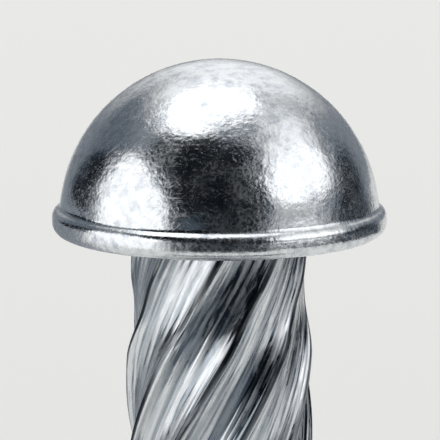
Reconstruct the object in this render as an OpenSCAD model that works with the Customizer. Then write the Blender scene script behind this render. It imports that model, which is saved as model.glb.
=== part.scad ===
// Drive rivet: a round headed metallic drive screw with steep helical flutes.
// It is hammered, not turned, into a drilled hole and grips by its ridges.
// One forged and rolled piece of bright zinc plated steel.
// Millimetres. The bearing face of the head is z = 0, the dome is above it
// and the shank points down along -Z, its axis on the Z axis.

/* [Head] */
// Diameter over the bead that runs round the rim
head_d = 10.9; // [10.7:0.05:11.6]
// Distance the bead stands out beyond the ball the dome is part of
bead_step = 0.232; // [0.12:0.004:0.3]
// Height of the ball's centre above the bearing face
dome_rise = 0.47; // [0.3:0.01:0.6]
// Height of the top of the bead's straight side above the bearing face
bead_side_h = 0.57; // [0.45:0.01:0.7]
// Rounding of the bead's upper edge
bead_top_round = 0.32; // [0.16:0.01:0.4]
// Rounding of the bead's lower edge
bead_low_round = 0.38; // [0.1:0.01:0.42]
// Hollow rounding between the bead and the dome
bead_fillet = 0.22; // [0.1:0.01:0.3]

/* [Shank] */
// Length of the shank from the bearing face to the flat tip
shank_len = 12.7; // [10.8:0.1:19]
// Diameter over the full ridges
crest_d = 6.1; // [5:0.05:7]
// Distance the ridges just under the head lie inside the full ridges
neck_step = 0.165; // [0.1:0.005:0.22]
// Distance the ridges at the waist, the thinnest place, lie inside the full ridges
waist_step = 0.225; // [0.17:0.005:0.3]
// Depth below the bearing face down to which the neck stays straight
neck_len = 1.3; // [0.6:0.1:1.6]
// Depth of the waist below the bearing face
waist_depth = 2.2; // [1.8:0.1:2.8]
// Depth below the bearing face from which the ridges are full
full_depth = 4; // [3:0.1:4.8]
// Radius of the fillet between the shank and the bearing face
seat_fillet = 0.45; // [0.3:0.05:0.6]

/* [Flutes] */
// Number of ridges side by side round the shank
starts = 9; // [7:1:11]
// Advance of one ridge along the shank in a full turn, right hand
flute_lead = 32.3; // [26:0.1:42]
// Turn of the first ridge about the axis at the bearing face, in degrees
flute_phase = 315; // [0:1:359]
// Depth of the flutes below the full ridges
flute_depth = 0.4; // [0.32:0.01:0.5]
// Width of the flat land on a ridge
land_w = 0.22; // [0.15:0.01:0.4]
// Width the higher of the two steep walls beside a land takes round the shank
wall_high_w = 0.2; // [0.1:0.01:0.28]
// Width the lower of the two steep walls beside a land takes round the shank
wall_low_w = 0.14; // [0.08:0.01:0.2]
// Share of the flute depth taken by the higher wall
wall_high = 0.5; // [0.3:0.05:0.7]
// Share of the flute depth taken by the lower wall
wall_low = 0.28; // [0.1:0.02:0.5]

/* [Pilot] */
// Distance the plain round pilot lies inside the bottoms of the flutes
pilot_step = 0.11; // [0.06:0.01:0.25]
// Length of the plain pilot from its shoulder to the tip
pilot_len = 3; // [1.5:0.1:4.5]
// Length of the cone on which the ridges run out into the pilot
runout_len = 0.9; // [0.6:0.05:1.4]
// Chamfer round the flat tip
tip_chamfer = 0.25; // [0.1:0.05:0.4]

/* [Hidden] */
$fn = 96;

steel_color = [0.77, 0.79, 0.81];

// Radii of the head
head_r = head_d / 2;
dome_r = head_r - bead_step;
// Centre of the arc that rounds the bead's upper edge
bead_arc_x = head_r - bead_top_round;
// Centre of the hollow arc, which blends the dome and the bead's arc
arc_gap = norm([bead_arc_x, bead_side_h - dome_rise]);
dome_reach = dome_r + bead_fillet;
bead_reach = bead_top_round + bead_fillet;
fillet_along = (dome_reach ^ 2 - bead_reach ^ 2 + arc_gap ^ 2) / (2 * arc_gap);
fillet_across = sqrt(dome_reach ^ 2 - fillet_along ^ 2);
arc_dir_x = bead_arc_x / arc_gap;
arc_dir_z = (bead_side_h - dome_rise) / arc_gap;
fillet_x = fillet_along * arc_dir_x - fillet_across * arc_dir_z;
fillet_z = dome_rise + fillet_along * arc_dir_z + fillet_across * arc_dir_x;
// Depth by which the hollow arc cuts the two arcs it blends, so that they truly meet
blend_sink = 0.0003;

// Radii of the shank
crest_r = crest_d / 2;
neck_r = crest_r - neck_step;
waist_r = crest_r - waist_step;
root_r = crest_r - flute_depth;
pilot_r = root_r - pilot_step;

// Heights along the shank
tip_z = -shank_len;
pilot_top_z = tip_z + pilot_len;
runout_top_z = pilot_top_z + runout_len;

// Length by which joined bodies reach into one another
overlap = 0.3;
// Amount by which the seat fillet starts below the flute bottoms
fillet_sink = 0.05;

// Angles across one flute, measured at the crests
start_turn = 360 / starts;
twist_rate = 360 / flute_lead;
deg_per_mm = 180 / (PI * crest_r);
half_land = land_w / 2 * deg_per_mm;
wall_high_turn = wall_high_w * deg_per_mm;
wall_low_turn = wall_low_w * deg_per_mm;
hollow_turn = start_turn - 2 * half_land - wall_high_turn - wall_low_turn;
// Extra depth of the hollow's middle below the line between its two edges
hollow_sag = 1 - (wall_high + wall_low) / 2;

// Number of steps across the hollow of a flute
hollow_steps = 10;
// Number of steps along a ridge down to its run-out and over the run-out
body_steps = 34;
runout_steps = 4;
// Lower end of the fluted core, inside the pilot
core_end_z = pilot_top_z - overlap / 2;

// Share of the flute depth at a step across the hollow
function hollow_share(s) =
    wall_high + (wall_low - wall_high) * s + 4 * hollow_sag * s * (1 - s);

// One flute as [turn, share of depth]: land, high wall, hollow, low wall
flute_shape = concat(
    [[-half_land, 0], [0, 0], [half_land, 0]],
    [for (i = [0:hollow_steps])
        [
            half_land + wall_high_turn + hollow_turn * i / hollow_steps,
            hollow_share(i / hollow_steps)
        ]
    ]
);
flute_points = len(flute_shape);
ring_points = starts * flute_points;

// Smooth step from 0 at t <= 0 to 1 at t >= 1
function ease(t) =
    let (c = min(max(t, 0), 1))
    c * c * (3 - 2 * c);

// Radius over the ridges at a height z
function ridge_r(z) =
    neck_r
    + (waist_r - neck_r) * ease((-z - neck_len) / (waist_depth - neck_len))
    + (crest_r - waist_r) * ease((-z - waist_depth) / (full_depth - waist_depth));

// Radius of the cone on which the ridges run out
function runout_r(z) =
    crest_r - (crest_r - pilot_r) * (runout_top_z - z) / runout_len;

// Height at which a line at a share of the flute depth meets the run-out cone
function runout_z(share) =
    runout_top_z - runout_len * flute_depth * share / (crest_r - pilot_r);

// Height of step j along a line that meets the run-out cone at height meet_z
function step_z(j, meet_z) =
    j <= body_steps
        ? overlap + (meet_z - overlap) * j / body_steps
        : meet_z + (core_end_z - meet_z) * (j - body_steps) / runout_steps;

// Radius of the shank at a height z and share of the flute depth
function shank_r(z, share) =
    min(ridge_r(z) - (ridge_r(z) - root_r) * share, runout_r(z));

// Point k of ring j, ring 0 being the topmost
function ring_point(j, k) =
    let (
        shape = flute_shape[k % flute_points],
        z = step_z(j, runout_z(shape[1])),
        turn = flute_phase + twist_rate * z + start_turn * floor(k / flute_points) + shape[0],
        r = shank_r(z, shape[1])
    )
    [r * cos(turn), r * sin(turn), z];

// Fluted core of the shank, skinned ring by ring
module fluted_core() {
    rings = body_steps + runout_steps;
    points = [for (j = [0:rings]) for (k = [0:ring_points - 1]) ring_point(j, k)];
    last = rings * ring_points;
    skin = [
        for (j = [0:rings - 1]) for (k = [0:ring_points - 1])
            let (
                a = j * ring_points + k,
                b = j * ring_points + (k + 1) % ring_points,
                c = a + ring_points,
                d = b + ring_points
            )
            each [[a, b, d], [a, d, c]]
    ];
    top = [for (k = [ring_points - 1:-1:0]) k];
    bottom = [for (k = [0:ring_points - 1]) last + k];
    polyhedron(points, concat(skin, [top, bottom]), convexity = 10);
}

// Half section of the head: bead, hollow rounding and dome
module head_section() {
    difference() {
        union() {
            translate([0, bead_low_round])
                square([head_r, bead_side_h - bead_low_round]);
            square([head_r - bead_low_round, bead_side_h]);
            translate([head_r - bead_low_round, bead_low_round])
                circle(r = bead_low_round);
            translate([bead_arc_x, bead_side_h])
                circle(r = bead_top_round);
            polygon([
                [0, 0],
                [bead_arc_x, bead_side_h],
                [fillet_x, fillet_z],
                [0, dome_rise]
            ]);
            translate([0, dome_rise])
                intersection() {
                    circle(r = dome_r);
                    square(dome_r);
                }
        }
        translate([fillet_x, fillet_z])
            circle(r = bead_fillet + blend_sink);
    }
}

// Dome and rim of the head
module head() {
    rotate_extrude()
        head_section();
}

// Fillet between the shank and the bearing face of the head
module seat_ring() {
    foot_r = root_r - fillet_sink;
    rotate_extrude()
        difference() {
            translate([0, -seat_fillet])
                square([foot_r + seat_fillet, seat_fillet + overlap]);
            translate([foot_r + seat_fillet, -seat_fillet])
                circle(r = seat_fillet);
        }
}

// Plain pilot with its chamfered flat tip
module pilot() {
    translate([0, 0, tip_z + tip_chamfer])
        cylinder(r = pilot_r, h = pilot_len + overlap - tip_chamfer);
    translate([0, 0, tip_z])
        cylinder(r1 = pilot_r - tip_chamfer, r2 = pilot_r, h = tip_chamfer);
}

module drive_rivet() {
    color(steel_color) {
        union() {
            head();
            seat_ring();
            fluted_core();
            pilot();
        }
    }
}

drive_rivet();
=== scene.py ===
"""Looks of a drive rivet: a round headed metallic drive screw with steep helical flutes.

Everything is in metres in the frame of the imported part: the bearing face of the head is z = 0,
the dome is above it and the fluted shank points down along -Z. The fields of the classes give
the rivet's sizes in millimetres, and they are turned to metres once, where its mesh is made.
Turns are in degrees.
"""

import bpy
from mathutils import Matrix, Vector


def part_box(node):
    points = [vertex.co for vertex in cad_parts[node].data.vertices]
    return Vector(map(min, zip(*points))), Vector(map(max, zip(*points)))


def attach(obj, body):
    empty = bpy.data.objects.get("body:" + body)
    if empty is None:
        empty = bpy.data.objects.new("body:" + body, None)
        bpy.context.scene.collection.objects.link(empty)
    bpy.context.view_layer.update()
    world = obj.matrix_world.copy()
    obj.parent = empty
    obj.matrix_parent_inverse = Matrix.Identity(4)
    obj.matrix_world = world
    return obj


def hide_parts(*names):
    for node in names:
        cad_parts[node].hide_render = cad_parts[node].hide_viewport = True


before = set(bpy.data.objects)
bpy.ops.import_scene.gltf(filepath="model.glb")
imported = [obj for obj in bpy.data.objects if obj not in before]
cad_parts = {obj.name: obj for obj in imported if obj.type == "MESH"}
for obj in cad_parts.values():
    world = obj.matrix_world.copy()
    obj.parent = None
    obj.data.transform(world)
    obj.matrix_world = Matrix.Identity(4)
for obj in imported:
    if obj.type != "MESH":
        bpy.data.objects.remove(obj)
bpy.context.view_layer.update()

import logging
import math
from dataclasses import dataclass, field
from enum import Enum

import bpy
import numpy as np
from mathutils import Vector

LOG = logging.getLogger("drive_rivet")
MM = 0.001
MICRON = 0.000001
NODE = "drive_rivet"
# What stands dark round the rivet is bluish, what is lit is white from this brightness on
DUSK_COLOUR = "#A8C8E8"
CLOTH_COLOUR = "#FFFFFF"
WHITE_LEVEL = 0.5
# Height of the tent's middle in metres: inside the head
TENT_Z = 0.002
# The value that Blender's noise swings round
NOISE_MIDDLE = 0.5
# Keeps a division by zero away
TINY = 1e-9
# What the mixing and mathematics nodes are set to
MIX_COLOURS = {"data_type": "RGBA"}
MIX_NUMBERS = {"data_type": "FLOAT"}
ABSOLUTE = {"operation": "ABSOLUTE"}
ARCTAN2 = {"operation": "ARCTAN2"}
FLOORED_MODULO = {"operation": "FLOORED_MODULO"}
MULTIPLY = {"operation": "MULTIPLY"}
MULTIPLY_ADD = {"operation": "MULTIPLY_ADD"}
SUBTRACT = {"operation": "SUBTRACT"}

Array = np.ndarray
Pair = tuple[float, float]
Colour = tuple[float, float, float, float]
Face = tuple[int, ...]
Material = bpy.types.Material
Object = bpy.types.Object
Socket = bpy.types.NodeSocket
Tree = bpy.types.NodeTree


def linear(hex_colour: str) -> Colour:
    """Turns an sRGB hex colour to linear light.

    Args:
        hex_colour: Six hex digits after a hash sign.

    Returns:
        Red, green, blue and an alpha of one.
    """
    parts = [int(hex_colour[i : i + 2], 16) / 255 for i in (1, 3, 5)]
    lit = [p / 12.92 if p <= 0.04045 else ((p + 0.055) / 1.055) ** 2.4 for p in parts]
    return (lit[0], lit[1], lit[2], 1.0)


def find_socket(sockets: bpy.types.bpy_prop_collection, name: str) -> Socket:
    """An input or output, by its identifier or by its name with _ for a blank."""
    spaced = name.replace("_", " ")
    return next(socket for socket in sockets if name == socket.identifier or spaced == socket.name)


def add_node(
    tree: Tree,
    kind: str,
    output: str | None,
    settings: dict[str, str] | None = None,
    **inputs: object,
) -> Socket | None:
    """Adds a node with its settings, input values and links.

    Args:
        tree: The node tree it goes into.
        kind: Blender's name of the node type.
        output: Which of its outputs is wanted; none for the last node of a tree.
        settings: The node's own properties.
        **inputs: An input's name to its value, or to the output that is linked to it.

    Returns:
        The wanted output.
    """
    node = tree.nodes.new(kind)
    for name, setting in (settings or {}).items():
        setattr(node, name, setting)
    for name, value in inputs.items():
        socket = find_socket(node.inputs, name)
        if isinstance(value, Socket):
            tree.links.new(value, socket)
        else:
            socket.default_value = value
    return find_socket(node.outputs, output) if output else None


def span(taken: Pair, given: Pair = (0.0, 1.0)) -> dict[str, float]:
    """Inputs of a node that maps the range it takes in to the one it gives out."""
    return {"From_Min": taken[0], "From_Max": taken[1], "To_Min": given[0], "To_Max": given[1]}


def empty_material(name: str) -> Material:
    """Makes a material without nodes.

    Args:
        name: Its name.

    Returns:
        The material, ready for its nodes.
    """
    made = bpy.data.materials.new(name)
    made.use_nodes = True
    made.node_tree.nodes.clear()
    return made


def put_in_scene(name: str, data: bpy.types.ID) -> Object:
    """Makes an object of a mesh, lamp or camera and puts it into the scene.

    Args:
        name: Its name.
        data: The mesh, lamp or camera.

    Returns:
        The object.
    """
    made = bpy.data.objects.new(name, data)
    bpy.context.scene.collection.objects.link(made)
    return made


def ease(t: Array) -> Array:
    """Smooth step from 0 at t <= 0 to 1 at t >= 1."""
    c = np.clip(t, 0.0, 1.0)
    return c * c * (3.0 - 2.0 * c)


def steps_after(start: float, end: float, count: int) -> Array:
    """Even steps from start to end, without the start itself."""
    return np.linspace(start, end, count + 1)[1:]


def on_arc(x: float, z: float, radius: float, angles: Array) -> list[Pair]:
    """Points on an arc round (x, z), at angles in radians."""
    return [(x + radius * math.cos(a), z + radius * math.sin(a)) for a in angles]


def round_axis(azimuth: Array, radius: Array | float, height: Array | float) -> Array:
    """Points round the rivet's axis; azimuth 0 is towards the camera and grows to the right."""
    flat = np.zeros_like(azimuth)
    return np.stack([np.sin(azimuth) * radius, -np.cos(azimuth) * radius, flat + height], axis=-1)


def soft_ends(places: Array, width: float) -> Array:
    """Cover that fades out over a width towards both ends of a row of places."""
    return ease(np.minimum(places - places[0], places[-1] - places) / width)


@dataclass
class Rows:
    """Rows of points down the rivet, one array of radius, height and turn for each row."""

    radius: list[Array] = field(default_factory=list)
    height: list[Array] = field(default_factory=list)
    turn: list[Array] = field(default_factory=list)

    def add(self, radius: Array | float, height: Array | float, turn: Array) -> None:
        """Adds one row; a single number is the same all round.

        Args:
            radius: How far out each point is.
            height: How high each point is.
            turn: The turn of each point in degrees.
        """
        flat = np.zeros_like(turn)
        self.radius.append(flat + radius)
        self.height.append(flat + height)
        self.turn.append(turn)


@dataclass(frozen=True)
class Flutes:
    """The helical flutes of the shank and the ridges between them.

    A ridge has a narrow land on top. A wall goes down from the land on either side, one to half
    the depth and one to a quarter, and a hollow sags between one ridge's high wall and the next
    one's low wall.
    """

    starts: int = 9
    lead: float = 32.3
    phase: float = 315.0
    crest_r: float = 3.05
    depth: float = 0.4
    land_w: float = 0.22
    wall_high_w: float = 0.2
    wall_low_w: float = 0.14
    wall_high: float = 0.5
    wall_low: float = 0.28
    steps_land: int = 8
    steps_wall: int = 5
    steps_hollow: int = 22

    @property
    def root_r(self) -> float:
        """Radius at the bottom of the hollows."""
        return self.crest_r - self.depth

    def section(self) -> tuple[Array, Array]:
        """The outline across all ridges.

        Returns:
            The turn of each column in degrees, and its share of the flute depth.
        """
        per_mm = 180 / (math.pi * self.crest_r)
        land = self.land_w * per_mm
        high = self.wall_high_w * per_mm
        low = self.wall_low_w * per_mm
        hollow = 360 / self.starts - land - high - low
        sag = 1 - (self.wall_high + self.wall_low) / 2
        steps = (self.steps_land, self.steps_wall, self.steps_hollow)
        t_land, t_wall, t_hollow = (np.arange(count) / count for count in steps)
        turn = np.concatenate(
            [
                t_land * land - land / 2,
                land / 2 + t_wall * high,
                land / 2 + high + t_hollow * hollow,
                land / 2 + high + hollow + t_wall * low,
            ]
        )
        across = self.wall_high + (self.wall_low - self.wall_high) * t_hollow
        share = np.concatenate(
            [
                np.zeros(self.steps_land),
                self.wall_high * ease(t_wall),
                across + 4 * sag * t_hollow * (1 - t_hollow),
                self.wall_low * (1 - ease(t_wall)),
            ]
        )
        turns = np.concatenate([turn + 360 / self.starts * i for i in range(self.starts)])
        return turns + self.phase, np.tile(share, self.starts)

    def twist(self, height: Array | float) -> Array | float:
        """Turn of a ridge in degrees at a height."""
        return 360 / self.lead * height


@dataclass
class Head:
    """The dome, the bead round its rim and the flat bearing face."""

    rim_r: float
    bead_step: float = 0.232
    dome_rise: float = 0.47
    side_h: float = 0.57
    top_round: float = 0.32
    low_round: float = 0.38
    fillet: float = 0.22
    dome_rows: int = 92
    arc_rows: int = 8
    side_rows: int = 4
    seat_rows: int = 6

    def outline(self) -> list[Pair]:
        """The half section from near the crown to the outer edge of the bearing face.

        Returns:
            Points as (radius, height): the dome, the fillet between dome and bead, the bead's
            upper round, its upright side and its lower round.
        """
        dome_r = self.rim_r - self.bead_step
        arc_x = self.rim_r - self.top_round
        arc_z = self.side_h
        # The fillet's centre is where a circle round the dome's centre meets one round the bead's
        gap = math.hypot(arc_x, arc_z - self.dome_rise)
        reach_dome = dome_r + self.fillet
        reach_bead = self.top_round + self.fillet
        along = (reach_dome**2 - reach_bead**2 + gap**2) / (2 * gap)
        across = math.sqrt(reach_dome**2 - along**2)
        dir_x = arc_x / gap
        dir_z = (arc_z - self.dome_rise) / gap
        fil_x = along * dir_x - across * dir_z
        fil_z = self.dome_rise + along * dir_z + across * dir_x
        dome_end = math.atan2(fil_z - self.dome_rise, fil_x)
        bead_end = math.atan2(fil_z - arc_z, fil_x - arc_x)
        dome = steps_after(math.pi / 2, dome_end, self.dome_rows)
        hollow = steps_after(dome_end + math.pi, bead_end + math.pi, self.arc_rows)
        bead = steps_after(bead_end, 0, self.arc_rows)
        side = steps_after(arc_z, self.low_round, self.side_rows)[:-1]
        low = np.linspace(0, -math.pi / 2, self.arc_rows)
        points = on_arc(0.0, self.dome_rise, dome_r, dome)
        points += on_arc(fil_x, fil_z, self.fillet, hollow)
        points += on_arc(arc_x, arc_z, self.top_round, bead)
        points += [(self.rim_r, float(z)) for z in side]
        points += on_arc(self.rim_r - self.low_round, self.low_round, self.low_round, low)
        return points

    def add_rows(self, rows: Rows, turns: Array, seat_r: float) -> None:
        """Adds the head's rows.

        Args:
            rows: Where they go.
            turns: The turn of each column in degrees.
            seat_r: Radius at which the bearing face meets the fillet of the shank.
        """
        for radius, height in self.outline():
            rows.add(radius, height, turns)
        for radius in steps_after(self.rim_r - self.low_round, seat_r, self.seat_rows):
            rows.add(float(radius), 0.0, turns)


@dataclass
class Shank:
    """The fluted shank, its fillet under the head, its run-out and its plain pilot."""

    tip_z: float
    flutes: Flutes
    seat_fillet: float = 0.45
    fillet_sink: float = 0.05
    neck_step: float = 0.165
    waist_step: float = 0.225
    neck_len: float = 1.3
    waist_depth: float = 2.2
    full_depth: float = 4.0
    pilot_step: float = 0.11
    pilot_len: float = 3.0
    runout_len: float = 0.9
    tip_chamfer: float = 0.25
    # Depth down to which the rows are closer together, over the fillet
    fine_len: float = 0.5
    fine_rows: int = 12
    ridge_rows: int = 109
    cone_rows: int = 8
    pilot_rows: int = 6
    chamfer_rows: int = 4

    @property
    def seat_r(self) -> float:
        """Radius at which the fillet meets the bearing face."""
        return self.flutes.root_r - self.fillet_sink + self.seat_fillet

    @property
    def pilot_r(self) -> float:
        """Radius of the plain pilot."""
        return self.flutes.root_r - self.pilot_step

    @property
    def pilot_top(self) -> float:
        """Height of the pilot's upper end."""
        return self.tip_z + self.pilot_len

    def ridge_r(self, height: Array) -> Array:
        """Radius over the ridges: it falls from the neck to the waist and rises to the crest.

        Args:
            height: Heights below the head, so below zero.

        Returns:
            The radius at each of them.
        """
        depth = -height
        neck = self.flutes.crest_r - self.neck_step
        waist = self.flutes.crest_r - self.waist_step
        thinned = (depth - self.neck_len) / (self.waist_depth - self.neck_len)
        filled = (depth - self.waist_depth) / (self.full_depth - self.waist_depth)
        return neck + (waist - neck) * ease(thinned) + self.waist_step * ease(filled)

    def add_fluted_rows(self, rows: Rows) -> None:
        """Adds the rows of the fillet, the ridges and the run-out, down to the pilot.

        Args:
            rows: Where they go.
        """
        turns, share = self.flutes.section()
        crest_r = self.flutes.crest_r
        cone_top = self.pilot_top + self.runout_len
        # Each column's flute ends where it meets the cone of the run-out
        meet = cone_top - self.runout_len * self.flutes.depth * share / (crest_r - self.pilot_r)
        fine_end = self.fine_len / -cone_top
        fine = steps_after(0, fine_end, self.fine_rows)
        coarse = steps_after(fine_end, 1, self.ridge_rows)
        for t in np.concatenate([fine, coarse]):
            z = meet * t
            over = self.ridge_r(z)
            radius = over - (over - self.flutes.root_r) * share
            inside = np.clip(self.seat_fillet**2 - (z + self.seat_fillet) ** 2, 0, None)
            filled = np.where(z > -self.seat_fillet, self.seat_r - np.sqrt(inside), 0)
            rows.add(np.maximum(radius, filled), z, turns + self.flutes.twist(z))
        for t in steps_after(0, 1, self.cone_rows):
            z = meet + (self.pilot_top - meet) * t
            cone = crest_r - (crest_r - self.pilot_r) * (cone_top - z) / self.runout_len
            rows.add(cone, z, turns + self.flutes.twist(z))

    def add_pilot_rows(self, rows: Rows) -> None:
        """Adds the rows of the plain pilot, down to the tip's edge.

        Args:
            rows: Where they go.
        """
        turns, _ = self.flutes.section()
        last = turns + self.flutes.twist(self.pilot_top)
        chamfer_top = self.tip_z + self.tip_chamfer
        for z in steps_after(self.pilot_top, chamfer_top, self.pilot_rows):
            rows.add(self.pilot_r, float(z), last)
        for cut in self.tip_chamfer * steps_after(0, 1, self.chamfer_rows):
            rows.add(self.pilot_r - cut, chamfer_top - cut, last)


class Region(Enum):
    """The two ways the steel was shaped, each with its own finish."""

    FORGED = 0
    ROLLED = 1


@dataclass(frozen=True)
class Grain:
    """The grain of a noise: the size of its spots, the finer layers on them, and their bend."""

    size_mm: float
    layers: float = 2.0
    bend: float = 0.0

    def inputs(self) -> dict[str, float]:
        """The inputs of a noise node, by name."""
        return {"Scale": 1 / (self.size_mm * MM), "Detail": self.layers, "Distortion": self.bend}


@dataclass(frozen=True)
class ForgedZinc:
    """Bright zinc plate over a cold forged blank.

    The plating mirrors the room. A soft orange peel and small dents from the plating barrel break
    up the edge of each reflection, and dull specks and short scratches, where the rivets rubbed on
    one another, show as a grey haze where the mirror is dark. The haze comes and goes over a
    millimetre or two. Real scratches are finer, and are drawn coarse enough to show.
    """

    colour: str = "#DFE2E5"
    stain_colour: str = "#B4BBC2"
    roughness: Pair = (0.13, 0.2)
    # Wide clouds of wear: the noise band they rise over, and how much wear the cleanest part has
    clouds: Grain = Grain(1.5, layers=3.0)
    cloud_band: Pair = (0.4, 0.62)
    rough_band: Pair = (0.35, 0.65)
    least_worn: float = 0.45
    stains: Grain = Grain(0.3, layers=4.0)
    stain_band: Pair = (0.44, 0.66)
    specks: Grain = Grain(0.09)
    speck_band: Pair = (0.3, 0.75)
    speck_rough: float = 0.36
    # Scratches run three ways: the turns are in radians about X, Y and Z
    scratches: Grain = Grain(0.07, layers=1.0, bend=0.8)
    scratch_stretch: float = 9.0
    scratch_band: Pair = (0.6, 0.74)
    scratch_rough: float = 0.34
    scratch_turns: tuple[tuple[float, float, float], ...] = (
        (0.2, 0.8, 0.0),
        (-0.5, -0.6, 0.9),
        (0.3, 1.5, 0.0),
    )
    # The orange peel and the dents, and how deep they are in microns
    peel: Grain = Grain(0.42)
    peel_um: float = 9.5
    pits: Grain = Grain(0.14, layers=1.0)
    pit_um: float = 11.0

    def material(self) -> Material:
        """Makes the material.

        Returns:
            The finish of the head and the pilot.
        """
        made = empty_material("bright_zinc_plate_on_forged_steel")
        tree = made.node_tree
        spot = add_node(tree, "ShaderNodeTexCoord", "Object")
        cloud = add_node(tree, "ShaderNodeTexNoise", "Fac", Vector=spot, **self.clouds.inputs())
        wear = span(self.cloud_band, (self.least_worn, 1.0))
        worn = add_node(tree, "ShaderNodeMapRange", "Result", Value=cloud, **wear)
        steel = add_node(
            tree,
            "ShaderNodeBsdfPrincipled",
            "BSDF",
            Base_Color=self.tone(tree, spot, worn),
            Metallic=1.0,
            Roughness=self.dullness(tree, spot, cloud, worn),
            Normal=self.dents(tree, spot, worn),
        )
        add_node(tree, "ShaderNodeOutputMaterial", None, Surface=steel)
        return made

    def tone(self, tree: Tree, spot: Socket, worn: Socket) -> Socket:
        """Adds the colour: clean plate with faint stains.

        Args:
            tree: The material's node tree.
            spot: Where on the rivet.
            worn: How worn the spot is.

        Returns:
            The colour.
        """
        noise = add_node(tree, "ShaderNodeTexNoise", "Fac", Vector=spot, **self.stains.inputs())
        stain = add_node(tree, "ShaderNodeMapRange", "Result", Value=noise, **span(self.stain_band))
        return add_node(
            tree,
            "ShaderNodeMix",
            "Result_Color",
            MIX_COLOURS,
            Factor=add_node(tree, "ShaderNodeMath", "Value", MULTIPLY, Value=stain, Value_001=worn),
            A_Color=linear(self.colour),
            B_Color=linear(self.stain_colour),
        )

    def dullness(self, tree: Tree, spot: Socket, cloud: Socket, worn: Socket) -> Socket:
        """Adds the roughness with its specks and scratches.

        Args:
            tree: The material's node tree.
            spot: Where on the rivet.
            cloud: The wide noise of the wear.
            worn: How worn the spot is.

        Returns:
            The roughness.
        """
        clean = span(self.rough_band, self.roughness)
        rough = add_node(tree, "ShaderNodeMapRange", "Result", Value=cloud, **clean)
        noise = add_node(tree, "ShaderNodeTexNoise", "Fac", Vector=spot, **self.specks.inputs())
        gate = add_node(tree, "ShaderNodeMath", "Value", MULTIPLY, Value=noise, Value_001=worn)
        marks = [(gate, self.speck_band, self.speck_rough)]
        # Scratches are long thin spots of a drawn out noise
        for turn in self.scratch_turns:
            drawn = add_node(
                tree,
                "ShaderNodeMapping",
                "Vector",
                {"vector_type": "TEXTURE"},
                Vector=spot,
                Rotation=turn,
                Scale=(1.0, 1.0, self.scratch_stretch),
            )
            fine = self.scratches.inputs()
            noise = add_node(tree, "ShaderNodeTexNoise", "Fac", Vector=drawn, **fine)
            marks.append((noise, self.scratch_band, self.scratch_rough))
        for noise, band, dull in marks:
            rough = add_node(
                tree,
                "ShaderNodeMix",
                "Result_Float",
                MIX_NUMBERS,
                Factor=add_node(tree, "ShaderNodeMapRange", "Result", Value=noise, **span(band)),
                A_Float=rough,
                B_Float=dull,
            )
        return rough

    def dents(self, tree: Tree, spot: Socket, worn: Socket) -> Socket:
        """Adds the orange peel and the barrel dents.

        Args:
            tree: The material's node tree.
            spot: Where on the rivet.
            worn: How worn the spot is.

        Returns:
            The normal.
        """
        peel = add_node(tree, "ShaderNodeTexNoise", "Fac", Vector=spot, **self.peel.inputs())
        pits = add_node(tree, "ShaderNodeTexNoise", "Fac", Vector=spot, **self.pits.inputs())
        level = add_node(
            tree, "ShaderNodeMath", "Value", SUBTRACT, Value=pits, Value_001=NOISE_MIDDLE
        )
        deep = add_node(tree, "ShaderNodeMath", "Value", MULTIPLY, Value=level, Value_001=worn)
        wave = add_node(
            tree, "ShaderNodeBump", "Normal", Height=peel, Distance=self.peel_um * MICRON
        )
        return add_node(
            tree,
            "ShaderNodeBump",
            "Normal",
            Height=deep,
            Distance=self.pit_um * MICRON,
            Normal=wave,
        )


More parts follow.
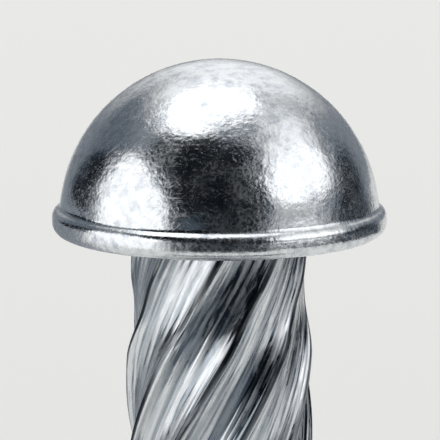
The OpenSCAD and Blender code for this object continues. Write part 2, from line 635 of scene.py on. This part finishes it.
@dataclass(frozen=True)
class RolledZinc:
    """Bright zinc plate over rolled flutes.

    It is as bright as the head, but the dies that slid along the metal drew it into grooves and
    fine lines along the ridges. So reflections stretch into streaks, bright and dull ones side by
    side. Blots of dull plate break up the dark streaks. A broken dark line of painted shade runs
    along each crest, and it is rougher too. The finest drawn lines are coarser than the real ones,
    so that they show.
    """

    flutes: Flutes
    colour: str = "#DFE2E5"
    groove_colour: str = "#A7AFB6"
    line_colour: str = "#8F979F"
    # Colour of the painted shade along each crest
    crest_shade_colour: str = "#2E3338"
    # Scale of the pattern along the ridges against across them: a smaller one draws it out more
    stretch: float = 0.06
    # The grooves and the lines: how deep they are in microns, and the bands of their noises over
    # which the grooves turn pale and the lines dark
    grooves: Grain = Grain(0.26, layers=1.0)
    groove_um: float = 60.0
    groove_band: Pair = (0.36, 0.56)
    lines: Grain = Grain(0.128)
    line_um: float = 9.5
    line_band: Pair = (0.47, 0.36)
    rough_band: Pair = (0.42, 0.66)
    roughness: Pair = (0.1, 0.42)
    blots: Grain = Grain(0.22, layers=3.0, bend=0.5)
    blot_stretch: float = 0.3
    blot_band: Pair = (0.47, 0.63)
    blot_rough: float = 0.44
    # The painted shade along a crest: half its width, its soft edge, how far off the middle it
    # lies, and how strong it is left where it breaks
    crest_shade_rough: float = 0.32
    crest_shade_half_mm: float = 0.155
    crest_shade_soft_mm: float = 0.09
    crest_shade_shift_mm: float = -0.037
    breaks: Grain = Grain(0.5, layers=3.0)
    break_band: Pair = (0.4, 0.56)
    crest_shade_least: float = 0.6

    def material(self) -> Material:
        """Makes the material.

        Returns:
            The finish of the fluted part of the shank.
        """
        made = empty_material("bright_zinc_plate_on_rolled_steel")
        tree = made.node_tree
        drawn = self.along_ridges(tree, self.stretch)
        grooves = add_node(tree, "ShaderNodeTexNoise", "Fac", Vector=drawn, **self.grooves.inputs())
        lines = add_node(tree, "ShaderNodeTexNoise", "Fac", Vector=drawn, **self.lines.inputs())
        # Where shade is painted along the crests
        crest_shade = self.painted_crest_shade(tree)
        deep = add_node(
            tree, "ShaderNodeBump", "Normal", Height=grooves, Distance=self.groove_um * MICRON
        )
        both = add_node(
            tree,
            "ShaderNodeBump",
            "Normal",
            Height=lines,
            Distance=self.line_um * MICRON,
            Normal=deep,
        )
        steel = add_node(
            tree,
            "ShaderNodeBsdfPrincipled",
            "BSDF",
            Base_Color=self.tone(tree, grooves, lines, crest_shade),
            Metallic=1.0,
            Roughness=self.dullness(tree, lines, crest_shade),
            Normal=both,
        )
        add_node(tree, "ShaderNodeOutputMaterial", None, Surface=steel)
        return made

    def tone(self, tree: Tree, grooves: Socket, lines: Socket, crest_shade: Socket) -> Socket:
        """Adds the colour: darker in grooves and lines, and darkest in the painted shade along the
        crests.

        Args:
            tree: The material's node tree.
            grooves: The noise of the grooves.
            lines: The noise of the fine lines.
            crest_shade: How strong the painted shade along the crest is.

        Returns:
            The colour.
        """
        groove, line = span(self.groove_band), span(self.line_band)
        clean = add_node(tree, "ShaderNodeMapRange", "Result", Value=grooves, **groove)
        soiled = add_node(tree, "ShaderNodeMapRange", "Result", Value=lines, **line)
        shade: Colour | Socket = linear(self.groove_colour)
        # The last mix paints the shade along the crests
        for share, colour in (
            (clean, self.colour),
            (soiled, self.line_colour),
            (crest_shade, self.crest_shade_colour),
        ):
            shade = add_node(
                tree,
                "ShaderNodeMix",
                "Result_Color",
                MIX_COLOURS,
                Factor=share,
                A_Color=shade,
                B_Color=linear(colour),
            )
        return shade

    def dullness(self, tree: Tree, lines: Socket, crest_shade: Socket) -> Socket:
        """Adds the roughness: bright and dull lines, dull blots, and a dull line where shade is
        painted along the crests.

        Args:
            tree: The material's node tree.
            lines: The noise of the fine lines.
            crest_shade: How strong the painted shade along the crest is.

        Returns:
            The roughness.
        """
        lined = span(self.rough_band, self.roughness)
        rough = add_node(tree, "ShaderNodeMapRange", "Result", Value=lines, **lined)
        along = self.along_ridges(tree, self.blot_stretch)
        noise = add_node(tree, "ShaderNodeTexNoise", "Fac", Vector=along, **self.blots.inputs())
        blot = add_node(tree, "ShaderNodeMapRange", "Result", Value=noise, **span(self.blot_band))
        for share, dull in ((blot, self.blot_rough), (crest_shade, self.crest_shade_rough)):
            rough = add_node(
                tree,
                "ShaderNodeMix",
                "Result_Float",
                MIX_NUMBERS,
                Factor=share,
                A_Float=rough,
                B_Float=dull,
            )
        return rough

    def painted_crest_shade(self, tree: Tree) -> Socket:
        """Adds the painted shade: a broken dark line along the middle of each crest.

        Args:
            tree: The material's node tree.

        Returns:
            How strong it is, from 0 to 1.
        """
        flutes = self.flutes
        flute_mm = 2 * math.pi * flutes.crest_r / flutes.starts
        place = add_node(tree, "ShaderNodeTexCoord", "Object")
        x, y, z = add_node(tree, "ShaderNodeSeparateXYZ", "X", Vector=place).node.outputs
        turned = add_node(tree, "ShaderNodeMath", "Value", ARCTAN2, Value=y, Value_001=x)
        # From here on one unit is one flute, and the middle of a crest falls halfway along it
        halfway = 0.5
        across = add_node(
            tree,
            "ShaderNodeMath",
            "Value",
            MULTIPLY_ADD,
            Value=turned,
            Value_001=flutes.starts / (2 * math.pi),
            Value_002=halfway - flutes.phase / 360 * flutes.starts - self.crest_shade_shift_mm / flute_mm,
        )
        count = add_node(
            tree,
            "ShaderNodeMath",
            "Value",
            MULTIPLY_ADD,
            Value=z,
            Value_001=-flutes.starts / (flutes.lead * MM),
            Value_002=across,
        )
        part = add_node(tree, "ShaderNodeMath", "Value", FLOORED_MODULO, Value=count, Value_001=1.0)
        side = add_node(tree, "ShaderNodeMath", "Value", SUBTRACT, Value=part, Value_001=halfway)
        away = add_node(tree, "ShaderNodeMath", "Value", ABSOLUTE, Value=side)
        full_mm = self.crest_shade_half_mm - self.crest_shade_soft_mm
        edge = span((self.crest_shade_half_mm / flute_mm, full_mm / flute_mm))
        line = add_node(tree, "ShaderNodeMapRange", "Result", Value=away, **edge)
        along = self.along_ridges(tree, self.blot_stretch)
        noise = add_node(tree, "ShaderNodeTexNoise", "Fac", Vector=along, **self.breaks.inputs())
        left = span(self.break_band, (self.crest_shade_least, 1.0))
        kept = add_node(tree, "ShaderNodeMapRange", "Result", Value=noise, **left)
        return add_node(tree, "ShaderNodeMath", "Value", MULTIPLY, Value=line, Value_001=kept)

    def along_ridges(self, tree: Tree, stretch: float) -> Socket:
        """Adds a place that is unwound by the lead and drawn out along the ridges.

        Args:
            tree: The material's node tree.
            stretch: The pattern's scale along the ridges, less than one.

        Returns:
            The place.
        """
        place = add_node(tree, "ShaderNodeTexCoord", "Object")
        height = add_node(tree, "ShaderNodeSeparateXYZ", "Z", Vector=place)
        rate = -2 * math.pi / (self.flutes.lead * MM)
        turn = add_node(tree, "ShaderNodeMath", "Value", MULTIPLY, Value=height, Value_001=rate)
        unwound = add_node(
            tree,
            "ShaderNodeVectorRotate",
            "Vector",
            {"rotation_type": "Z_AXIS"},
            Vector=place,
            Angle=turn,
        )
        return add_node(
            tree, "ShaderNodeMapping", "Vector", Vector=unwound, Scale=(1.0, 1.0, stretch)
        )


@dataclass
class DriveRivet:
    """The whole rivet, one closed skin."""

    head: Head
    shank: Shank
    crown_z: float

    def skin(self) -> tuple[Array, list[Face], list[Region]]:
        """Makes the points and faces.

        Returns:
            Points in millimetres, faces, and the region of each face.
        """
        turns, _ = self.shank.flutes.section()
        rows = Rows()
        self.head.add_rows(rows, turns, self.shank.seat_r)
        fluted_from = len(rows.radius)
        self.shank.add_fluted_rows(rows)
        fluted_to = len(rows.radius)
        self.shank.add_pilot_rows(rows)
        radius = np.array(rows.radius)
        angle = np.radians(np.array(rows.turn))
        height = np.array(rows.height)
        grid = np.stack([radius * np.cos(angle), radius * np.sin(angle), height], axis=-1)
        count, columns = radius.shape
        crown = [[0.0, 0.0, self.crown_z]]
        tip = [[0.0, 0.0, self.shank.tip_z]]
        points = np.concatenate([crown, grid.reshape(-1, 3), tip])
        faces: list[Face] = [(0, 1 + k, 1 + (k + 1) % columns) for k in range(columns)]
        regions = [Region.FORGED] * columns
        for j in range(count - 1):
            here = 1 + j * columns
            fluted = fluted_from - 1 <= j < fluted_to - 1
            regions += [Region.ROLLED if fluted else Region.FORGED] * columns
            for k in range(columns):
                n = (k + 1) % columns
                faces.append((here + k, here + columns + k, here + columns + n, here + n))
        end = 1 + (count - 1) * columns
        faces += [(end + k, len(points) - 1, end + (k + 1) % columns) for k in range(columns)]
        regions += [Region.FORGED] * columns
        return points, faces, regions

    def finishes(self) -> dict[Region, Material]:
        """Makes the finish of each region.

        Returns:
            Each region's material.
        """
        return {
            Region.FORGED: ForgedZinc().material(),
            Region.ROLLED: RolledZinc(self.shank.flutes).material(),
        }

    def build(self) -> Object:
        """Builds and dresses the rivet.

        Returns:
            The object, riding on the part's body in place of the CAD node.
        """
        points, faces, regions = self.skin()
        mesh = bpy.data.meshes.new("drive_rivet_skin")
        mesh.from_pydata((points * MM).tolist(), [], faces)
        mesh.polygons.foreach_set("use_smooth", [True] * len(faces))
        finishes = self.finishes()
        for region in Region:
            mesh.materials.append(finishes[region])
        mesh.polygons.foreach_set("material_index", [region.value for region in regions])
        mesh.update()
        made = put_in_scene("drive_rivet_plated", mesh)
        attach(made, "root")
        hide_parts(NODE)
        return made


@dataclass(frozen=True)
class MattCard:
    """Matt pale paper card under the rivet: even, without gloss, and it keeps the soft shadow."""

    colour: str = "#E4E4E2"
    roughness: float = 0.5

    def material(self) -> Material:
        """Makes the material.

        Returns:
            The finish of the floor.
        """
        made = empty_material("matt_pale_card")
        tree = made.node_tree
        paper = linear(self.colour)
        card = add_node(
            tree, "ShaderNodeBsdfDiffuse", "BSDF", Color=paper, Roughness=self.roughness
        )
        add_node(tree, "ShaderNodeOutputMaterial", None, Surface=card)
        return made


def mirror_card(
    name: str, points: Array, faces: list[Face], level: Array, cover: Array | None = None
) -> Object:
    """Makes a lit surface that only reflections show.

    Args:
        name: Its name.
        points: Its corners in metres.
        faces: Its faces.
        level: How bright it is at each corner.
        cover: How solid it is at each corner, from 0 to 1; none for a surface solid all over.

    Returns:
        The surface, seen in reflections only.
    """
    mesh = bpy.data.meshes.new(name)
    mesh.from_pydata(points.tolist(), [], faces)
    mesh.attributes.new("level", "FLOAT", "POINT").data.foreach_set("value", level)
    look = empty_material(f"studio_{name}")
    tree = look.node_tree
    bright = add_node(tree, "ShaderNodeAttribute", "Fac", {"attribute_name": "level"})
    pale = span((0.0, WHITE_LEVEL))
    tint = add_node(
        tree,
        "ShaderNodeMix",
        "Result_Color",
        MIX_COLOURS,
        Factor=add_node(tree, "ShaderNodeMapRange", "Result", Value=bright, **pale),
        A_Color=linear(DUSK_COLOUR),
        B_Color=linear(CLOTH_COLOUR),
    )
    seen = add_node(tree, "ShaderNodeEmission", "Emission", Color=tint, Strength=bright)
    if cover is not None:
        mesh.attributes.new("cover", "FLOAT", "POINT").data.foreach_set("value", cover)
        seen = add_node(
            tree,
            "ShaderNodeMixShader",
            "Shader",
            Fac=add_node(tree, "ShaderNodeAttribute", "Fac", {"attribute_name": "cover"}),
            Shader=add_node(tree, "ShaderNodeBsdfTransparent", "BSDF"),
            Shader_001=seen,
        )
    add_node(tree, "ShaderNodeOutputMaterial", None, Surface=seen)
    mesh.materials.append(look)
    made = put_in_scene(name, mesh)
    made.visible_camera = False
    made.visible_diffuse = False
    made.visible_shadow = False
    return made


def grid_card(name: str, points: Array, level: Array, cover: Array) -> Object:
    """Makes a soft edged card from a grid of corners.

    Args:
        name: Its name.
        points: Its corners in metres, by row, column and axis.
        level: How bright it is at each corner.
        cover: How solid it is at each corner, from 0 to 1.

    Returns:
        The card, seen in reflections only.
    """
    rows, wide = cover.shape
    faces = [
        (j * wide + k, j * wide + k + 1, (j + 1) * wide + k + 1, (j + 1) * wide + k)
        for j in range(rows - 1)
        for k in range(wide - 1)
    ]
    return mirror_card(name, points.reshape(-1, 3), faces, level.ravel(), cover.ravel())


@dataclass(frozen=True)
class Panel:
    """A rounded field of one brightness on the studio's tent: a lit cloth or a dark flag.

    Its first six numbers are in degrees. The centre's azimuth and elevation come first: azimuth 0
    is towards the camera and grows to the right. Then come half the width and height. A turn lifts
    the panel's right end as seen from outside the tent, and soft is how wide the edge fades. A
    squareness of 2 makes an ellipse, and a higher one fills out its corners.
    """

    centre: Pair
    half_size: Pair
    turn: float
    soft: float
    level: float
    squareness: float = 2.5

    def cover(self, ways: Array) -> Array:
        """How far the panel hides what lies behind it.

        Args:
            ways: Unit vectors out from the middle of the tent.

        Returns:
            A number from 0 to 1 for each of them.
        """
        az, el = np.radians(self.centre)
        half_width, half_height = self.half_size
        ahead = round_axis(az, np.cos(el), np.sin(el))
        level_way = np.array([math.cos(az), math.sin(az), 0.0])
        rise = np.cross(level_way, ahead)
        rise *= math.copysign(1.0, rise[2])
        tilt = math.radians(self.turn)
        right = ways @ (level_way * math.cos(tilt) + rise * math.sin(tilt))
        upward = ways @ (rise * math.cos(tilt) - level_way * math.sin(tilt))
        angle = np.degrees(np.arccos(np.clip(ways @ ahead, -1, 1)))
        away = angle / np.maximum(np.hypot(right, upward), TINY)
        across = np.abs(away * right / half_width) ** self.squareness
        along = np.abs(away * upward / half_height) ** self.squareness
        inside = 1 - (across + along) ** (1 / self.squareness)
        return ease(inside * min(self.half_size) / self.soft)


@dataclass(frozen=True)
class Tent:
    """The light tent that the plating mirrors, painted with panels that lie over one another."""

    panels: tuple[Panel, ...]
    plain_level: float = 0.3
    radius: float = 0.5
    lowest: float = -12.0
    step: float = 1.5

    def build(self, centre: Vector) -> Object:
        """Builds the tent.

        Args:
            centre: The middle of the tent.

        Returns:
            The tent, seen in reflections only.
        """
        columns = round(360 / self.step)
        azimuths = np.radians(np.arange(columns) * self.step)
        elevations = np.radians(np.arange(self.lowest, 90, self.step))
        rows = len(elevations)
        az, el = np.meshgrid(azimuths, elevations)
        sides = round_axis(az, np.cos(el), np.sin(el)).reshape(-1, 3)
        ways = np.concatenate([sides, [[0.0, 0.0, 1.0]]])
        level = np.full(len(ways), self.plain_level)
        for panel in reversed(self.panels):
            cover = panel.cover(ways)
            level = level * (1 - cover) + panel.level * cover
        faces: list[Face] = []
        for k in range(columns):
            n = (k + 1) % columns
            for j in range(rows - 1):
                low, high = j * columns, (j + 1) * columns
                faces.append((low + k, low + n, high + n, high + k))
            top = (rows - 1) * columns
            faces.append((top + k, top + n, len(ways) - 1))
        points = np.array(centre) + ways * self.radius
        return mirror_card("light_tent", points, faces, level)


@dataclass(frozen=True)
class FloorCard:
    """A sector of card lying on the floor, away from the rivet, that the plating mirrors.

    Azimuth and soft are in degrees, as a panel's are, and reach and lift are in metres. From its
    inner edge the card fades in until it is fade times as far out.
    """

    name: str
    azimuth: Pair
    reach: Pair
    level: float
    soft: float = 14.0
    fade: float = 1.6
    lift: float = 0.0002
    columns: int = 32
    rows: int = 16

    def build(self, floor_z: float) -> Object:
        """Builds the card with soft edges.

        Args:
            floor_z: Height of the floor.

        Returns:
            The card, seen in reflections only.
        """
        az = np.linspace(*self.azimuth, self.columns + 1)
        far = np.geomspace(*self.reach, self.rows + 1)
        grid_az, grid_far = np.meshgrid(np.radians(az), far)
        points = round_axis(grid_az, grid_far, floor_z + self.lift)
        inner = ease(np.log(far / far[0]) / math.log(self.fade))
        cover = np.outer(inner, soft_ends(az, self.soft))
        return grid_card(self.name, points, np.full(cover.shape, self.level), cover)


@dataclass(frozen=True)
class UprightCard:
    """A card held upright close round the fluted part of the shank, which alone mirrors it.

    The head sees over it and the pilot under it. Azimuth and soft are in degrees, as a panel's are.
    Radius is a share of the head's radius. Shares of the shank's length above the floor give the
    card's lower and upper end, the width over which each fades, and the two heights between which
    the card goes from the brightness of its foot to that of its top.
    """

    name: str
    azimuth: Pair
    level: float
    foot_level: float
    change: Pair = (0.57, 0.72)
    radius: float = 1.38
    ends: Pair = (0.25, 0.8)
    fade: float = 0.16
    soft: float = 8.0
    columns: int = 24
    rows: int = 24

    def build(self, floor_z: float, head_r: float) -> Object:
        """Builds the card with soft edges.

        Args:
            floor_z: Height of the floor, the shank's length below the bearing face.
            head_r: Radius of the head.

        Returns:
            The card, seen in reflections only.
        """
        az = np.linspace(*self.azimuth, self.columns + 1)
        up = np.linspace(*self.ends, self.rows + 1)
        grid_az, grid_up = np.meshgrid(np.radians(az), up)
        points = round_axis(grid_az, self.radius * head_r, floor_z * (1 - grid_up))
        first, last = self.change
        risen = ease((grid_up - first) / (last - first))
        level = self.foot_level + (self.level - self.foot_level) * risen
        cover = np.outer(soft_ends(up, self.fade), soft_ends(az, self.soft))
        return grid_card(self.name, points, level, cover)


@dataclass(frozen=True)
class Lamp:
    """A soft lamp that lights the floor."""

    place: tuple[float, float, float] = (0.0, 0.12, 0.9)
    size: float = 0.5
    watts: float = 7.5

    def build(self) -> Object:
        """Builds the lamp, aimed at the rivet.

        Returns:
            The lamp, which no mirror shows.
        """
        data = bpy.data.lights.new("top_lamp", "AREA")
        data.shape = "DISK"
        data.size = self.size
        data.energy = self.watts
        made = put_in_scene("top_lamp", data)
        made.location = self.place
        made.rotation_euler = (-Vector(self.place)).to_track_quat("-Z", "Y").to_euler()
        made.visible_camera = False
        made.visible_glossy = False
        return made


@dataclass
class Studio:
    """The pale floor, the lamp, the light tent and the cards on the floor."""

    floor_z: float
    head_r: float
    centre: Vector
    reach: float = 1.5
    world_level: float = 0.3

    def floor(self) -> Object:
        """Builds the floor.

        Returns:
            The floor, at the rivet's tip.
        """
        half = self.reach
        mesh = bpy.data.meshes.new("floor")
        corners = [(-half, -half, 0), (half, -half, 0), (half, half, 0), (-half, half, 0)]
        mesh.from_pydata(corners, [], [(0, 1, 2, 3)])
        mesh.materials.append(MattCard().material())
        made = put_in_scene("floor", mesh)
        made.location.z = self.floor_z
        return made

    def world(self) -> None:
        """Makes the plain pale surroundings."""
        world = bpy.data.worlds.new("plain_pale_room")
        world.use_nodes = True
        tree = world.node_tree
        tree.nodes.clear()
        white = linear(CLOTH_COLOUR)
        air = add_node(
            tree, "ShaderNodeBackground", "Background", Color=white, Strength=self.world_level
        )
        add_node(tree, "ShaderNodeOutputWorld", None, Surface=air)
        bpy.context.scene.world = world

    def cloths(self) -> tuple[Panel, ...]:
        """The lit cloths that lie over everything else.

        Returns:
            The cloths, the top one first.
        """
        # The three wide highlights of the dome: on its crown, low on its left and on its right
        overhead = Panel(centre=(216, 79.5), half_size=(29, 24), turn=0, soft=4, level=1.7)
        left = Panel(centre=(-69, 11), half_size=(36, 28), turn=-27, soft=7, level=1.45)
        right = Panel(centre=(71, 30), half_size=(32, 19), turn=2, soft=6, level=1.55)
        # The bright line on the right of the bead, and the pale foot of the dome above it
        right_foot = Panel(centre=(60, -3), half_size=(25, 8), turn=0, soft=4, level=1.1)
        right_low = Panel(centre=(54, -9), half_size=(22, 50), turn=-11, soft=9, level=0.5)
        return (overhead, left, right, right_foot, right_low)

    def flags(self) -> tuple[Panel, ...]:
        """The dark flags and the dim cloths behind the lit ones.

        Returns:
            The flags, the top one first.
        """
        # Dark crescents outside the left and right highlights
        left = Panel(centre=(-117, 10), half_size=(16, 38), turn=-50, soft=8, level=0.02)
        right = Panel(centre=(111, 2), half_size=(18, 32), turn=-50, soft=8, level=0.02)
        # Grey from the left shoulder of the dome down to its rim
        left_upper = Panel(centre=(-124, 28), half_size=(50, 24), turn=-11, soft=16, level=0.21)
        # A faint light at the foot of the dark middle
        front_low = Panel(centre=(-22, 0), half_size=(15, 14), turn=0, soft=7, level=0.13)
        # Pale right shoulder
        right_upper = Panel(centre=(80, 46), half_size=(46, 24), turn=24, soft=16, level=1.2)
        # The nearly square dark middle of the dome
        front = Panel(
            centre=(-18, 0), half_size=(57, 79), turn=-5, soft=10, level=0.01, squareness=4.0
        )
        # Pale rim over the crown
        back = Panel(centre=(184, 42), half_size=(38, 40), turn=-50, soft=20, level=1.15)
        return (left, right, left_upper, front_low, right_upper, front, back)

    def floor_cards(self) -> tuple[FloorCard, ...]:
        """The cards on the floor, mirrored by the bead and by the flanks of the ridges.

        Returns:
            The cards, in any order.
        """
        # The dark band round the front and the right of the bead
        front = FloorCard(
            "front_floor_flag", azimuth=(-40, 44), reach=(0.022, 0.5), level=0.035, soft=16.0
        )
        right = FloorCard("right_floor_flag", azimuth=(26, 150), reach=(0.036, 0.5), level=0.08)
        # The lit left of the bead, grey further round
        left = FloorCard(
            "left_floor_cloth", azimuth=(-100, -40), reach=(0.03, 0.4), level=1.35, soft=6.0
        )
        left_back = FloorCard(
            "left_back_floor_flag", azimuth=(-172, -98), reach=(0.01, 0.5), level=0.32
        )
        # Continues the bright line on the right of the bead; lies on top of the flag
        right_lit = FloorCard(
            "right_floor_cloth",
            azimuth=(32, 86),
            reach=(0.075, 0.5),
            level=1.2,
            soft=10.0,
            fade=1.4,
            lift=0.0005,
        )
        return (front, right, left, left_back, right_lit)

    def shank_flag(self) -> UprightCard:
        """The card that gives the dark streaks down the front of the shank."""
        return UprightCard("shank_flag", azimuth=(-32, 44), level=0.03, foot_level=0.3)

    def build(self) -> list[Object]:
        """Builds it all.

        Returns:
            The floor, the tent, the cards and the lamp.
        """
        self.world()
        made = [self.floor(), Tent(self.cloths() + self.flags()).build(self.centre)]
        made += [card.build(self.floor_z) for card in self.floor_cards()]
        made.append(self.shank_flag().build(self.floor_z, self.head_r))
        made.append(Lamp().build())
        return made


@dataclass(frozen=True)
class Camera:
    """The view of the rivet from the front, a little above it, through a long lens."""

    elevation: float = 10.0
    lens: float = 500.0
    sensor: float = 36.0
    # How much of the rivet's plane the picture spans, and the point in its middle, as X and Z
    field_mm: float = 14.34
    aim_mm: Pair = (0.02, 0.42)
    clip: Pair = (0.005, 10.0)

    def build(self) -> Object:
        """Builds the camera and makes it the scene's.

        Returns:
            The camera.
        """
        data = bpy.data.cameras.new("camera")
        data.lens = self.lens
        data.sensor_width = self.sensor
        data.clip_start, data.clip_end = self.clip
        made = put_in_scene("camera", data)
        tilt = math.radians(self.elevation)
        back = Vector((0.0, -math.cos(tilt), math.sin(tilt)))
        aim = Vector((self.aim_mm[0] * MM, 0.0, self.aim_mm[1] * MM))
        made.location = aim + back * (self.field_mm * MM * self.lens / self.sensor)
        made.rotation_euler = (-back).to_track_quat("-Z", "Y").to_euler()
        bpy.context.scene.camera = made
        return made


def main() -> None:
    """Builds the rivet, the studio and the camera, and reports each."""
    logging.basicConfig(level=logging.INFO, format="%(name)s: %(message)s")
    low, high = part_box(NODE)
    head = Head(rim_r=(high[0] - low[0]) / 2 / MM)
    shank = Shank(tip_z=low[2] / MM, flutes=Flutes())
    rivet = DriveRivet(head, shank, crown_z=high[2] / MM).build()
    LOG.info("%s: %d faces", rivet.name, len(rivet.data.polygons))
    # The tent stands round the middle of the head, whose dome mirrors most of it
    studio = Studio(floor_z=low[2], head_r=high[0], centre=Vector((0.0, 0.0, TENT_Z)))
    for made in studio.build():
        LOG.info("studio: %s", made.name)
    camera = Camera().build()
    LOG.info("%s at %s", camera.name, [round(c, 4) for c in camera.location])
    bpy.context.scene.view_settings.view_transform = "Standard"


if __name__ == "__main__":
    main()
